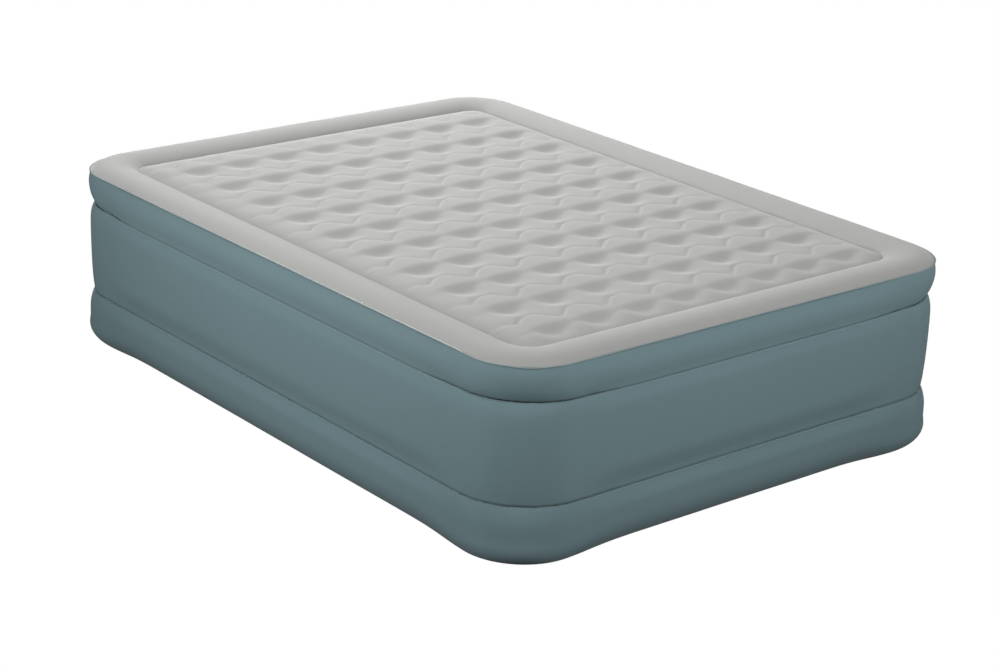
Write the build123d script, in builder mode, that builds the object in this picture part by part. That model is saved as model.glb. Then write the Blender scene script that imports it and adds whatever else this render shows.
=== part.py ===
"""Raised queen-size air mattress with its built-in electric pump.

The frame: the origin is on the floor under the middle of the bed, +Z is up, +Y points to the
head end and +X to the bed's side that is on the left of someone lying on their back.
All sizes are in millimetres.
"""

from build123d import *
import math
import os

os.makedirs("parts", exist_ok=True)

# The inflated bed.
width = 1520.0
length = 2030.0
corner_radius = 197.0
lower_crease_z = 163.0
upper_crease_z = 418.0
seam_z = 508.0
rim_top_z = 527.0
panel_top_z = 504.0
rim_width = 156.0
rim_crest = 86.0
crease_inset = 10.0
seam_inset = 16.0
floor_inset = 85.0
roll_height = 105.0
seam_flange = 2.0

# The flocked sheet, its welds and the sheets inside.
sheet = 2.0
inner_sheet = 1.2
weld_half_height = 2.0
weld_reach = 4.0
crease_reach = 16.0
web = 1.5
deck_hole_radius = 14.0
deck_hole_pitch = 290.0
beam_pitch = 280.0

# The wave-shaped beams under the top panel.
wave_pitch = 170.0
wave_pair_gap = 83.0
wave_half_period = 70.0
strong_wave = 21.0
soft_wave = 10.0
wave_margin = 20.0

# The pump: its place in the head wall and its face.
pump_corner_gap = 5.0
plate_width = 232.0
plate_height = 168.0
plate_radius = 24.0
plate = 4.0
plate_recess = 16.0
plate_gap = 2.0
collar_rim = 10.0
collar_radius = 34.0
ledge = 6.0
gasket = 2.0
gasket_margin = 2.0

# The pump's housing and the cord bay.
housing_width = 208.0
housing_height = 144.0
housing_radius = 12.0
housing_depth = 106.0
housing_wall = 2.5
bay_x = 56.0
bay_width = 84.0
bay_height = 131.0
bay_depth = 60.0
bay_wall = 2.0
bay_radius = 6.0

# The selector, the blower and the motor share one axis.
selector_x = -56.0
selector_z = 14.0
knob_radius = 27.0
knob_skirt = 4.0
knob_bar_height = 9.0
knob_bar_width = 12.0
spindle_radius = 4.0
shutter_radius = 33.0
shutter = 3.0
bulkhead = 3.0
volute_radius = 44.0
volute_wall = 2.0
volute_depth = 25.0
snout_width = 24.0
impeller_radius = 37.0
impeller_blades = 9
shaft_radius = 2.0
motor_radius = 25.0
motor_length = 38.0
motor_wall = 2.0
bush_radius = 5.0

# The rocker switch.
switch_x = -56.0
switch_z = -52.0
switch_width = 32.0
switch_height = 21.0
switch_depth = 22.0
rocker_half_width = 11.0
rocker_half_height = 7.6
rocker_tilt = 10.0
rocker_pivot = 1.5

# The door of the cord bay and its hinge.
door = 2.6
door_gap = 1.0
knuckle_radius = 3.2
hinge_pin_radius = 1.5
knuckle_half_length = 40.0
knuckle_end_length = 12.0

# The flap valve between the pump and the bed.
valve_x = -56.0
valve_z = -44.0
valve_bore = 14.0
valve_seat_radius = 19.0
valve_flange_radius = 22.0
flap_radius = 17.0
flap = 2.0
flap_seal = 1.0
flap_pin_radius = 1.2

# Clearances and fasteners.
fit = 0.05
moving_gap = 0.4
screw_radius = 1.75
screw_head_radius = 3.2
screw_slot_length = 3.6
screw_slot_width = 0.9
screw_head = 1.8

half_width = width / 2
half_length = length / 2
corner_x = half_width - corner_radius
corner_y = half_length - corner_radius
collar_width = plate_width + 2 * (plate_gap + collar_rim)
collar_height = plate_height + 2 * (plate_gap + collar_rim)
pump_x = corner_x - collar_width / 2 - pump_corner_gap
pump_z = (lower_crease_z + upper_crease_z) / 2


def finish(piece, name):
    """Names a finished piece and writes it."""
    piece.part.label = name
    export_step(piece.part, f"parts/{name}.step")


def wall_ring(section_on):
    """A wall round the bed: its section runs along a side, a corner and an end, then is mirrored."""
    side = Plane(origin=(-half_width, 0, 0), x_dir=(1, 0, 0), z_dir=(0, -1, 0))
    corner = Plane(origin=(-half_width, -corner_y, 0), x_dir=(1, 0, 0), z_dir=(0, -1, 0))
    end = Plane(origin=(-corner_x, -half_length, 0), x_dir=(0, 1, 0), z_dir=(1, 0, 0))
    corner_axis = Axis((-corner_x, -corner_y, 0), (0, 0, 1))
    with BuildPart() as ring:
        extrude(section_on(side), amount=corner_y)
        revolve(section_on(corner), axis=corner_axis, revolution_arc=90)
        extrude(section_on(end), amount=corner_x)
        mirror(about=Plane.YZ)
        mirror(about=Plane.XZ)
    return ring


def strip(plane, inner, outer, low, high):
    """A rectangular section between two distances from the bed's outermost plane."""
    with BuildSketch(plane) as section:
        with Locations(((inner + outer) / 2, (low + high) / 2)):
            Rectangle(outer - inner, high - low)
    return section.sketch


def bed_outline(inset):
    """The bed's outline seen from above, drawn in by an inset."""
    RectangleRounded(width - 2 * inset, length - 2 * inset, corner_radius - inset)


def pump_plane(depth, x=0.0, z=0.0):
    """A plane across the pump, a depth in from the bed's outermost plane, looking inwards."""
    origin = (pump_x + x, half_length - depth, pump_z + z)
    return Plane(origin=origin, x_dir=(1, 0, 0), z_dir=(0, -1, 0))


# ---------------------------------------------------------------- the envelope
def lower_band_section(plane):
    """The lower band: a bulge under the crease that rolls under the bed to the floor."""
    low_z = roll_height
    rise = lower_crease_z - weld_half_height - low_z
    bulge = (crease_inset**2 + rise**2) / (2 * crease_inset)
    with BuildSketch(plane) as section:
        with BuildLine():
            top = (crease_inset, lower_crease_z - weld_half_height)
            middle_angle = math.asin(rise / bulge) / 2
            middle = (bulge * (1 - math.cos(middle_angle)), low_z + bulge * math.sin(middle_angle))
            ThreePointArc(top, middle, (0, low_z))
            EllipticalCenterArc((floor_inset, low_z), floor_inset, low_z, start_angle=180, arc_size=90)
            Line((floor_inset, 0), (floor_inset, sheet))
            EllipticalCenterArc(
                (floor_inset, low_z), floor_inset - sheet, low_z - sheet, start_angle=180, arc_size=90
            )
            ThreePointArc((sheet, low_z), (middle[0] + sheet, middle[1]), (top[0] + sheet, top[1]))
            Line((top[0] + sheet, top[1]), top)
        make_face()
    return section.sketch


def bulged_section(plane, low, low_inset, high, high_inset):
    """A band of the side wall that bulges out to the bed's outermost plane between two welds."""
    with BuildSketch(plane) as section:
        with BuildLine():
            crest = low + (high - low) * low_inset**0.5 / (low_inset**0.5 + high_inset**0.5)
            ThreePointArc((low_inset, low), (0, crest), (high_inset, high))
            Line((high_inset, high), (high_inset + sheet, high))
            ThreePointArc((high_inset + sheet, high), (sheet, crest), (low_inset + sheet, low))
            Line((low_inset + sheet, low), (low_inset, low))
        make_face()
    return section.sketch


def middle_band_section(plane):
    """The tall middle band, between the two creases."""
    low = lower_crease_z + weld_half_height
    high = upper_crease_z - weld_half_height
    return bulged_section(plane, low, crease_inset, high, crease_inset)


def upper_band_section(plane):
    """The upper band, from the upper crease to the colour seam."""
    low = upper_crease_z + weld_half_height
    high = seam_z - weld_half_height
    return bulged_section(plane, low, crease_inset, high, seam_inset)


def rim_section(plane):
    """The rim round the sleeping surface: up from the seam to its crest, and down to the panel."""
    base = seam_z + weld_half_height
    foot = panel_top_z + weld_half_height
    with BuildSketch(plane) as section:
        with BuildLine():
            for skin in (0.0, sheet):
                outer_x = rim_crest - seam_inset - skin
                outer_z = rim_top_z - base - skin
                inner_x = rim_width - rim_crest - skin
                inner_z = rim_top_z - foot - skin
                EllipticalCenterArc((rim_crest, base), outer_x, outer_z, start_angle=90, arc_size=90)
                EllipticalCenterArc((rim_crest, foot), inner_x, inner_z, start_angle=0, arc_size=90)
            Line((seam_inset, base), (seam_inset + sheet, base))
            Line((rim_width, foot), (rim_width - sheet, foot))
        make_face()
    return section.sketch


with BuildPart() as bottom_sheet:
    with BuildSketch() as bottom_outline:
        bed_outline(floor_inset)
    extrude(amount=sheet)
finish(bottom_sheet, "bottom_sheet")

lower_band = wall_ring(lower_band_section)
finish(lower_band, "lower_band")

with BuildPart() as middle_band:
    add(wall_ring(middle_band_section).part)
    with BuildSketch(pump_plane(0)):
        RectangleRounded(collar_width, collar_height, collar_radius)
    extrude(amount=corner_radius, mode=Mode.SUBTRACT)
finish(middle_band, "middle_band")

upper_band = wall_ring(upper_band_section)
finish(upper_band, "upper_band")

top_rim = wall_ring(rim_section)
finish(top_rim, "top_rim")

with BuildPart() as top_panel:
    with BuildSketch(Plane.XY.offset(panel_top_z - sheet)):
        bed_outline(rim_width)
    extrude(amount=sheet)
finish(top_panel, "top_panel")


def bottom_weld_section(plane):
    """The lap strip inside the bottom edge, on the bottom sheet and the lower band's edge."""
    return strip(plane, floor_inset, floor_inset + 12.0, sheet, 2 * sheet)


def lower_weld_section(plane):
    """The weld strip in the lower crease, with a tab that holds the lower deck."""
    low = lower_crease_z - weld_half_height
    return strip(plane, crease_inset, crease_inset + sheet + crease_reach, low, low + 2 * weld_half_height)


def upper_weld_section(plane):
    """The weld strip in the upper crease, with a tab that holds the mid deck."""
    low = upper_crease_z - weld_half_height
    return strip(plane, crease_inset, crease_inset + sheet + crease_reach, low, low + 2 * weld_half_height)


def seam_section(plane):
    """The colour seam: the flange where the grey top is welded to the side wall."""
    low = seam_z - weld_half_height
    return strip(plane, seam_inset - seam_flange, seam_inset + sheet + weld_reach, low, low + 2 * weld_half_height)


def panel_weld_section(plane):
    """The weld at the foot of the rim's inner wall, over the panel's edge."""
    return strip(plane, rim_width - sheet, rim_width + weld_reach, panel_top_z, panel_top_z + weld_half_height)


for weld_name, weld_section in (
    ("bottom_weld", bottom_weld_section),
    ("lower_crease_weld", lower_weld_section),
    ("upper_crease_weld", upper_weld_section),
    ("colour_seam_weld", seam_section),
    ("panel_weld", panel_weld_section),
):
    finish(wall_ring(weld_section), weld_name)

# ---------------------------------------------------------------- the sheets and beams inside
deck_inset = crease_inset + sheet + crease_reach
deck_holes_across = int(width / deck_hole_pitch) - 1
deck_holes_along = int(length / deck_hole_pitch) - 1


def deck(height):
    """A sheet across the inside of the bed, with holes that let the air through."""
    with BuildPart() as inner_deck:
        with BuildSketch(Plane.XY.offset(height - inner_sheet / 2)):
            bed_outline(deck_inset)
            with GridLocations(deck_hole_pitch, deck_hole_pitch, deck_holes_across, deck_holes_along):
                Circle(deck_hole_radius, mode=Mode.SUBTRACT)
        extrude(amount=inner_sheet)
    return inner_deck


finish(deck(lower_crease_z), "lower_deck")
finish(deck(upper_crease_z), "mid_deck")


# Whole waves and whole pairs of beams, as many as the panel takes.
panel_inset = rim_width + weld_reach + wave_margin
wave_half_waves = 2 * int((width - 2 * panel_inset) / (2 * wave_half_period))
wave_start_x = -wave_half_waves * wave_half_period / 2
wave_span = length - 2 * panel_inset - wave_pair_gap - soft_wave - strong_wave
wave_groups = int(wave_span / wave_pitch) + 1


def wave_line(offset, swing, amplitude):
    """A wavy line across the bed made of equal arcs that bend to one side and then to the other."""
    side = swing
    with BuildLine() as line:
        for step in range(wave_half_waves):
            low_x = wave_start_x + step * wave_half_period
            high_x = low_x + wave_half_period
            crest = ((low_x + high_x) / 2, offset + side * amplitude)
            ThreePointArc((low_x, offset), crest, (high_x, offset))
            side = -side
    return line.line


wave_bottom_z = upper_crease_z + inner_sheet / 2
wave_top_z = panel_top_z - sheet
first_wave_y = -((wave_groups - 1) * wave_pitch + wave_pair_gap) / 2

with BuildPart() as wave_beams:
    for group in range(wave_groups):
        soft_y = first_wave_y + group * wave_pitch
        strong_y = soft_y + wave_pair_gap
        for wave_y, swing, amplitude in ((soft_y, 1, soft_wave), (strong_y, -1, strong_wave)):
            near = wave_line(wave_y - web / 2, swing, amplitude)
            far = wave_line(wave_y + web / 2, swing, amplitude)
            with BuildSketch(Plane.XY.offset(wave_bottom_z)):
                with BuildLine():
                    add(near)
                    add(far)
                    for edge_x in (wave_start_x, -wave_start_x):
                        Line((edge_x, wave_y - web / 2), (edge_x, wave_y + web / 2))
                make_face()
            extrude(amount=wave_top_z - wave_bottom_z)
finish(wave_beams, "wave_beams")


def rim_beam_section(plane):
    """The upright strip that ties the rim's inner foot down to the mid deck."""
    return strip(plane, rim_width + weld_reach, rim_width + weld_reach + web, wave_bottom_z, wave_top_z)


finish(wall_ring(rim_beam_section), "rim_beam")

beam_count = int(width / beam_pitch)
beam_length = length - 2 * (corner_radius + housing_depth)


def straight_beams(low, high):
    """The straight upright strips between two sheets, along the bed."""
    with BuildPart() as beams:
        with BuildSketch(Plane.XY.offset(low)):
            with GridLocations(beam_pitch, 1, beam_count, 1):
                Rectangle(web, beam_length)
        extrude(amount=high - low)
    return beams


finish(straight_beams(sheet, lower_crease_z - inner_sheet / 2), "base_beams")
finish(
    straight_beams(lower_crease_z + inner_sheet / 2, upper_crease_z - inner_sheet / 2), "middle_beams"
)

# ---------------------------------------------------------------- the pump's face
plate_front = plate_recess
plate_back = plate_front + plate
gasket_back = plate_back + gasket
ledge_back = gasket_back + ledge
opening_width = housing_width + 2 * fit
opening_height = housing_height + 2 * fit
screw_inset = 9.0
screw_places = [
    (x * (plate_width / 2 - screw_inset), z * (plate_height / 2 - screw_inset))
    for x in (-1, 1)
    for z in (-1, 1)
]
hole_radius = screw_radius + fit

with BuildPart() as pump_collar:
    with BuildSketch(pump_plane(0)):
        RectangleRounded(collar_width, collar_height, collar_radius)
    extrude(amount=ledge_back)
    with BuildSketch(pump_plane(0)):
        RectangleRounded(
            plate_width + 2 * plate_gap, plate_height + 2 * plate_gap, plate_radius + plate_gap
        )
    extrude(amount=gasket_back, mode=Mode.SUBTRACT)
    with BuildSketch(pump_plane(gasket_back)):
        RectangleRounded(opening_width, opening_height, housing_radius)
        with Locations(*screw_places):
            Circle(hole_radius)
    extrude(amount=ledge, mode=Mode.SUBTRACT)
    front_edges = pump_collar.faces().sort_by(Axis.Y)[-1].edges()
    fillet(front_edges, collar_rim / 4)
finish(pump_collar, "pump_collar")

with BuildPart() as pump_gasket:
    with BuildSketch(pump_plane(plate_back)):
        RectangleRounded(
            plate_width - 2 * gasket_margin,
            plate_height - 2 * gasket_margin,
            plate_radius - gasket_margin,
        )
        RectangleRounded(opening_width, opening_height, housing_radius, mode=Mode.SUBTRACT)
        with Locations(*screw_places):
            Circle(hole_radius, mode=Mode.SUBTRACT)
    extrude(amount=gasket)
finish(pump_gasket, "pump_gasket")

grille_x = selector_x
grille_z = 66.0
grille_width = 84.0
grille_height = 18.0
grille_slots = 10
grille_slot_pitch = 7.0
grille_slot_width = 3.4
grille_border = 3.0
grille_stand = 1.0
boss_radius = 8.0
boss_length = 7.0
hinge_edge = 3.6
hinge_x = bay_x + bay_width / 2 - hinge_edge
hinge_depth = plate_front + door / 2 - knuckle_radius / 2
knuckle_centre_z = knuckle_half_length + moving_gap + knuckle_end_length / 2

with BuildPart() as pump_face_plate:
    with BuildSketch(pump_plane(plate_front)):
        RectangleRounded(plate_width, plate_height, plate_radius)
        with Locations((bay_x, 0)):
            Rectangle(bay_width, bay_height, mode=Mode.SUBTRACT)
        with Locations((switch_x, switch_z)):
            Rectangle(switch_width + 2 * fit, switch_height + 2 * fit, mode=Mode.SUBTRACT)
        with Locations((grille_x, grille_z)):
            SlotOverall(grille_width + 2 * fit, grille_height + 2 * fit, mode=Mode.SUBTRACT)
        with Locations(*screw_places):
            Circle(hole_radius, mode=Mode.SUBTRACT)
    extrude(amount=plate)
    with BuildSketch(pump_plane(plate_back)):
        with Locations((selector_x, selector_z)):
            Circle(boss_radius)
    extrude(amount=boss_length)
    with BuildSketch(pump_plane(plate_front)):
        with Locations((selector_x, selector_z)):
            Circle(spindle_radius + fit)
    extrude(amount=plate + boss_length, mode=Mode.SUBTRACT)
    with BuildSketch(pump_plane(plate_front)):
        with Locations(*screw_places):
            Circle(screw_head_radius + fit)
    extrude(amount=screw_head, mode=Mode.SUBTRACT)
    for end in (-1, 1):
        knuckle_low = pump_z + end * knuckle_centre_z - knuckle_end_length / 2
        knuckle_plane = Plane(
            origin=(pump_x + hinge_x, half_length - hinge_depth, knuckle_low),
            x_dir=(1, 0, 0),
            z_dir=(0, 0, 1),
        )
        edge_gap = bay_x + bay_width / 2 - hinge_x
        with BuildSketch(knuckle_plane):
            Circle(knuckle_radius)
            with Locations((edge_gap / 2, -(plate_front + door / 2 - hinge_depth))):
                Rectangle(edge_gap, door)
            Circle(hinge_pin_radius + fit, mode=Mode.SUBTRACT)
        extrude(amount=knuckle_end_length)
finish(pump_face_plate, "pump_face_plate")

with BuildPart() as plate_screws:
    with BuildSketch(pump_plane(plate_front)):
        with Locations(*screw_places):
            Circle(screw_head_radius)
    extrude(amount=screw_head)
    with BuildSketch(pump_plane(plate_front + screw_head)):
        with Locations(*screw_places):
            Circle(screw_radius)
    extrude(amount=ledge_back - plate_front - screw_head)
    with BuildSketch(pump_plane(plate_front)):
        with Locations(*screw_places):
            Rectangle(screw_slot_length, screw_slot_width)
            Rectangle(screw_slot_width, screw_slot_length)
    extrude(amount=screw_head / 2, mode=Mode.SUBTRACT)
finish(plate_screws, "plate_screws")

with BuildPart() as intake_grille:
    with BuildSketch(pump_plane(plate_front - grille_stand)):
        with Locations((grille_x, grille_z)):
            SlotOverall(grille_width, grille_height)
            with GridLocations(grille_slot_pitch, 1, grille_slots, 1):
                slot_length = grille_height - 2 * grille_border
                SlotOverall(slot_length, grille_slot_width, rotation=90, mode=Mode.SUBTRACT)
    extrude(amount=plate + grille_stand)
finish(intake_grille, "intake_grille")

# ---------------------------------------------------------------- the housing and the cord bay
housing_back = plate_back + housing_depth
bulkhead_depth = plate_back + 14.0
bulkhead_right = bay_x - bay_width / 2 - bay_wall - 2.0

with BuildPart() as pump_housing:
    with BuildSketch(pump_plane(plate_back)):
        RectangleRounded(housing_width, housing_height, housing_radius)
    extrude(amount=housing_depth)
    with BuildSketch(pump_plane(plate_back)):
        RectangleRounded(
            housing_width - 2 * housing_wall,
            housing_height - 2 * housing_wall,
            housing_radius - housing_wall,
        )
    extrude(amount=housing_depth - housing_wall, mode=Mode.SUBTRACT)
    with BuildSketch(pump_plane(housing_back - housing_wall)):
        with Locations((valve_x, valve_z)):
            Circle(valve_seat_radius + fit)
    extrude(amount=housing_wall, mode=Mode.SUBTRACT)
finish(pump_housing, "pump_housing")

gland_depth = plate_back + bay_depth / 2
gland_radius = 5.0

with BuildPart() as cord_bay_tub:
    with BuildSketch(pump_plane(plate_back)):
        with Locations((bay_x, 0)):
            RectangleRounded(bay_width + 2 * bay_wall, bay_height + 2 * bay_wall, bay_radius + bay_wall)
    extrude(amount=bay_depth + bay_wall)
    with BuildSketch(pump_plane(plate_back)):
        with Locations((bay_x, 0)):
            RectangleRounded(bay_width, bay_height, bay_radius)
    extrude(amount=bay_depth, mode=Mode.SUBTRACT)
    gland_hole = Plane(
        origin=(pump_x + bay_x - bay_width / 2, half_length - gland_depth, pump_z - bay_height / 3),
        x_dir=(0, 1, 0),
        z_dir=(-1, 0, 0),
    )
    with BuildSketch(gland_hole):
        Circle(gland_radius + fit)
    extrude(amount=bay_wall, mode=Mode.SUBTRACT)
finish(cord_bay_tub, "cord_bay_tub")

cord_radius = 3.2
with BuildPart() as cord_gland:
    with BuildSketch(gland_hole):
        Circle(gland_radius)
    extrude(amount=bay_wall)
    with BuildSketch(gland_hole):
        Circle(gland_radius + 2.0)
    extrude(amount=-3.0)
    with BuildSketch(gland_hole.offset(-3.0)):
        Circle(cord_radius)
    extrude(amount=bay_wall + 3.0, mode=Mode.SUBTRACT)
finish(cord_gland, "cord_gland")

door_width = hinge_x - knuckle_radius - moving_gap - (bay_x - bay_width / 2 + door_gap)
door_left = bay_x - bay_width / 2 + door_gap
door_knuckle_plane = Plane(
    origin=(pump_x + hinge_x, half_length - hinge_depth, pump_z - knuckle_half_length),
    x_dir=(1, 0, 0),
    z_dir=(0, 0, 1),
)
with BuildPart() as cord_bay_door:
    with BuildSketch(pump_plane(plate_front)):
        with Locations((door_left + door_width / 2, 0)):
            RectangleRounded(door_width, bay_height - 2 * door_gap, 3.0)
    extrude(amount=door)
    with BuildSketch(door_knuckle_plane):
        Circle(knuckle_radius)
        arm = hinge_x - (door_left + door_width) + 1.0
        with Locations((-arm / 2, -(plate_front + door / 2 - hinge_depth))):
            Rectangle(arm, door)
        Circle(hinge_pin_radius + fit, mode=Mode.SUBTRACT)
    extrude(amount=2 * knuckle_half_length)
    with BuildSketch(pump_plane(plate_front)):
        with Locations((door_left + 9.0, 0)):
            SlotOverall(34.0, 6.0, rotation=90)
    extrude(amount=-3.0)
    with BuildSketch(door_knuckle_plane.offset(-5.0)):
        Circle(hinge_pin_radius + fit)
    extrude(amount=2 * knuckle_half_length + 10.0, mode=Mode.SUBTRACT)
finish(cord_bay_door, "cord_bay_door")

pin_length = 2 * (knuckle_half_length + moving_gap + knuckle_end_length)
with BuildPart() as door_hinge_pin:
    with BuildSketch(door_knuckle_plane.offset(-(pin_length / 2 - knuckle_half_length))):
        Circle(hinge_pin_radius)
    extrude(amount=pin_length)
finish(door_hinge_pin, "door_hinge_pin")

# ---------------------------------------------------------------- the selector
knob_back = plate_front - moving_gap
knob_front = knob_back - knob_skirt - knob_bar_height
bore_front = knob_front + 3.0
shutter_front = bulkhead_depth - moving_gap - shutter


def at_selector(depth):
    """A plane across the selector's axis at a depth."""
    return pump_plane(depth, selector_x, selector_z)


with BuildPart() as selector_knob:
    with BuildSketch(at_selector(knob_back)):
        Circle(knob_radius)
    extrude(amount=-knob_skirt)
    fillet(selector_knob.edges().group_by(Axis.Y)[-1], knob_skirt / 3)
    with BuildSketch(at_selector(knob_back - knob_skirt)):
        SlotOverall(2 * knob_radius - 4.0, knob_bar_width, rotation=90)
    extrude(amount=-knob_bar_height, taper=6)
    with BuildSketch(at_selector(knob_back)):
        Circle(spindle_radius)
    extrude(amount=-(knob_back - bore_front), mode=Mode.SUBTRACT)
    with BuildSketch(at_selector(knob_front)):
        with Locations((0, knob_radius - 12.0)):
            Rectangle(2.4, 9.0)
    extrude(amount=1.0, mode=Mode.SUBTRACT)
finish(selector_knob, "selector_knob")

with BuildPart() as knob_pointer:
    with BuildSketch(at_selector(knob_front)):
        with Locations((0, knob_radius - 12.0)):
            Rectangle(2.4, 9.0)
    extrude(amount=1.0)
finish(knob_pointer, "knob_pointer")

with BuildPart() as selector_spindle:
    with BuildSketch(at_selector(bore_front)):
        Circle(spindle_radius)
    extrude(amount=shutter_front + shutter - bore_front)
finish(selector_spindle, "selector_spindle")

with BuildPart() as selector_shutter:
    with BuildSketch(at_selector(shutter_front)):
        Circle(shutter_radius)
        Circle(spindle_radius, mode=Mode.SUBTRACT)
        with PolarLocations(22.0, 2, 0):
            SlotOverall(26.0, 14.0, rotation=90, mode=Mode.SUBTRACT)
    extrude(amount=shutter)
finish(selector_shutter, "selector_shutter")

# ---------------------------------------------------------------- the blower
bulkhead_left = -(housing_width / 2 - housing_wall)
blower_front = bulkhead_depth + bulkhead
blower_back = blower_front + volute_depth
snout_low = -(housing_height / 2 - housing_wall) - selector_z + 8.0

with BuildPart() as blower_bulkhead:
    with BuildSketch(pump_plane(bulkhead_depth)):
        RectangleRounded(
            housing_width - 2 * housing_wall,
            housing_height - 2 * housing_wall,
            housing_radius - housing_wall,
        )
        with Locations((bulkhead_right + housing_width / 2, 0)):
            Rectangle(housing_width, housing_height, mode=Mode.SUBTRACT)
        with Locations((selector_x, selector_z)):
            with PolarLocations(22.0, 2, 90):
                SlotOverall(26.0, 14.0, rotation=90, mode=Mode.SUBTRACT)
            Circle(12.0, mode=Mode.SUBTRACT)
        with Locations((switch_x, switch_z)):
            Rectangle(switch_width + 2.0, switch_height + 2.0, mode=Mode.SUBTRACT)
    extrude(amount=bulkhead)
finish(blower_bulkhead, "blower_bulkhead")


def volute_outline(inset):
    """The scroll and its outlet seen along the shaft."""
    Circle(volute_radius - inset)
    with Locations((-volute_radius + snout_width / 2, snout_low / 2)):
        Rectangle(snout_width - 2 * inset, -snout_low)


with BuildPart() as blower_volute:
    with BuildSketch(at_selector(blower_front)):
        volute_outline(0)
    extrude(amount=volute_depth)
    with BuildSketch(at_selector(blower_front)):
        volute_outline(volute_wall)
        with Locations((-volute_radius + snout_width / 2, snout_low)):
            Rectangle(snout_width - 2 * volute_wall, 6.0)
    extrude(amount=volute_depth - volute_wall, mode=Mode.SUBTRACT)
    with BuildSketch(at_selector(blower_back - volute_wall)):
        Circle(bush_radius + 2.0)
    extrude(amount=volute_wall, mode=Mode.SUBTRACT)
finish(blower_volute, "blower_volute")

impeller_back = blower_back - volute_wall - 1.5
impeller_front = blower_front + 2.0
impeller_disc = 2.0
blade_start = 14.0

with BuildPart() as impeller:
    with BuildSketch(at_selector(impeller_back)):
        Circle(impeller_radius)
    extrude(amount=-impeller_disc)
    with BuildSketch(at_selector(impeller_back)):
        Circle(7.0)
    extrude(amount=-(impeller_back - impeller_front))
    with BuildSketch(at_selector(impeller_back - impeller_disc)):
        with PolarLocations(0, impeller_blades):
            with BuildLine():
                RadiusArc((blade_start, 0), (impeller_radius - 3.0, 12.0), 30.0)
                Line((impeller_radius - 3.0, 12.0), (impeller_radius - 2.6, 10.4))
                RadiusArc((impeller_radius - 2.6, 10.4), (blade_start + 0.6, -1.5), -30.0)
                Line((blade_start + 0.6, -1.5), (blade_start, 0))
            make_face()
    extrude(amount=-(impeller_back - impeller_disc - impeller_front))
    with BuildSketch(at_selector(impeller_back)):
        Circle(shaft_radius)
    extrude(amount=-(impeller_back - impeller_front), mode=Mode.SUBTRACT)
finish(impeller, "impeller")

# ---------------------------------------------------------------- the motor
bracket = 3.0
bracket_back = blower_back + bracket
motor_back = bracket_back + motor_length
cap = 5.0
shaft_end = motor_back + cap + 2.0
bush_length = 5.0
front_bush_depth = bracket_back - bush_length + motor_wall

with BuildPart() as motor_bracket:
    with BuildSketch(at_selector(blower_back)):
        Circle(motor_radius + 8.0)
        Circle(bush_radius + fit, mode=Mode.SUBTRACT)
    extrude(amount=bracket)
finish(motor_bracket, "motor_bracket")

with BuildPart() as motor_can:
    with BuildSketch(at_selector(bracket_back)):
        Circle(motor_radius)
    extrude(amount=motor_length)
    with BuildSketch(at_selector(bracket_back + motor_wall)):
        Circle(motor_radius - motor_wall)
    extrude(amount=motor_length - motor_wall, mode=Mode.SUBTRACT)
    with BuildSketch(at_selector(bracket_back)):
        Circle(bush_radius + fit)
    extrude(amount=motor_wall, mode=Mode.SUBTRACT)
finish(motor_can, "motor_can")

with BuildPart() as motor_end_cap:
    with BuildSketch(at_selector(motor_back)):
        Circle(motor_radius)
        Circle(bush_radius + fit, mode=Mode.SUBTRACT)
    extrude(amount=cap)
finish(motor_end_cap, "motor_end_cap")

magnet_front = bracket_back + motor_wall + 5.0
magnet_length = 24.0
magnet_inner = 19.0
with BuildPart() as motor_magnets:
    with BuildSketch(at_selector(magnet_front)):
        Circle(motor_radius - motor_wall)
        Circle(magnet_inner, mode=Mode.SUBTRACT)
        Rectangle(2 * motor_radius, 16.0, mode=Mode.SUBTRACT)
    extrude(amount=magnet_length)
finish(motor_magnets, "motor_magnets")

armature_slots = 7
with BuildPart() as motor_armature:
    with BuildSketch(at_selector(magnet_front + 1.0)):
        Circle(magnet_inner - 0.8)
        Circle(shaft_radius, mode=Mode.SUBTRACT)
        with PolarLocations(magnet_inner - 5.0, armature_slots):
            Circle(3.0, mode=Mode.SUBTRACT)
    extrude(amount=magnet_length - 2.0)
finish(motor_armature, "motor_armature")

with BuildPart() as rotor_shaft:
    with BuildSketch(at_selector(impeller_front - 1.0)):
        Circle(shaft_radius)
    extrude(amount=shaft_end - impeller_front + 1.0)
finish(rotor_shaft, "rotor_shaft")

for bush_name, bush_depth in (
    ("front_bearing", front_bush_depth),
    ("rear_bearing", motor_back),
):
    with BuildPart() as bearing:
        with BuildSketch(at_selector(bush_depth)):
            Circle(bush_radius)
            Circle(shaft_radius + fit, mode=Mode.SUBTRACT)
        extrude(amount=bush_length)
    finish(bearing, bush_name)

# ---------------------------------------------------------------- the rocker switch
rocker_depth = plate_front + 4.0
cavity_half_width = 13.0
cavity_half_height = rocker_half_height + moving_gap
cavity_depth = rocker_depth + 9.0
bezel = 1.5
bezel_margin = 2.5


def at_switch(depth):
    """A plane across the switch's body at a depth."""
    return pump_plane(depth, switch_x, switch_z)


rocker_plane = Plane(
    origin=(pump_x + switch_x, half_length - rocker_depth, pump_z + switch_z - rocker_half_height),
    x_dir=(1, 0, 0),
    z_dir=(0, 0, 1),
)
pivot_reach = 1.6

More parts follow.
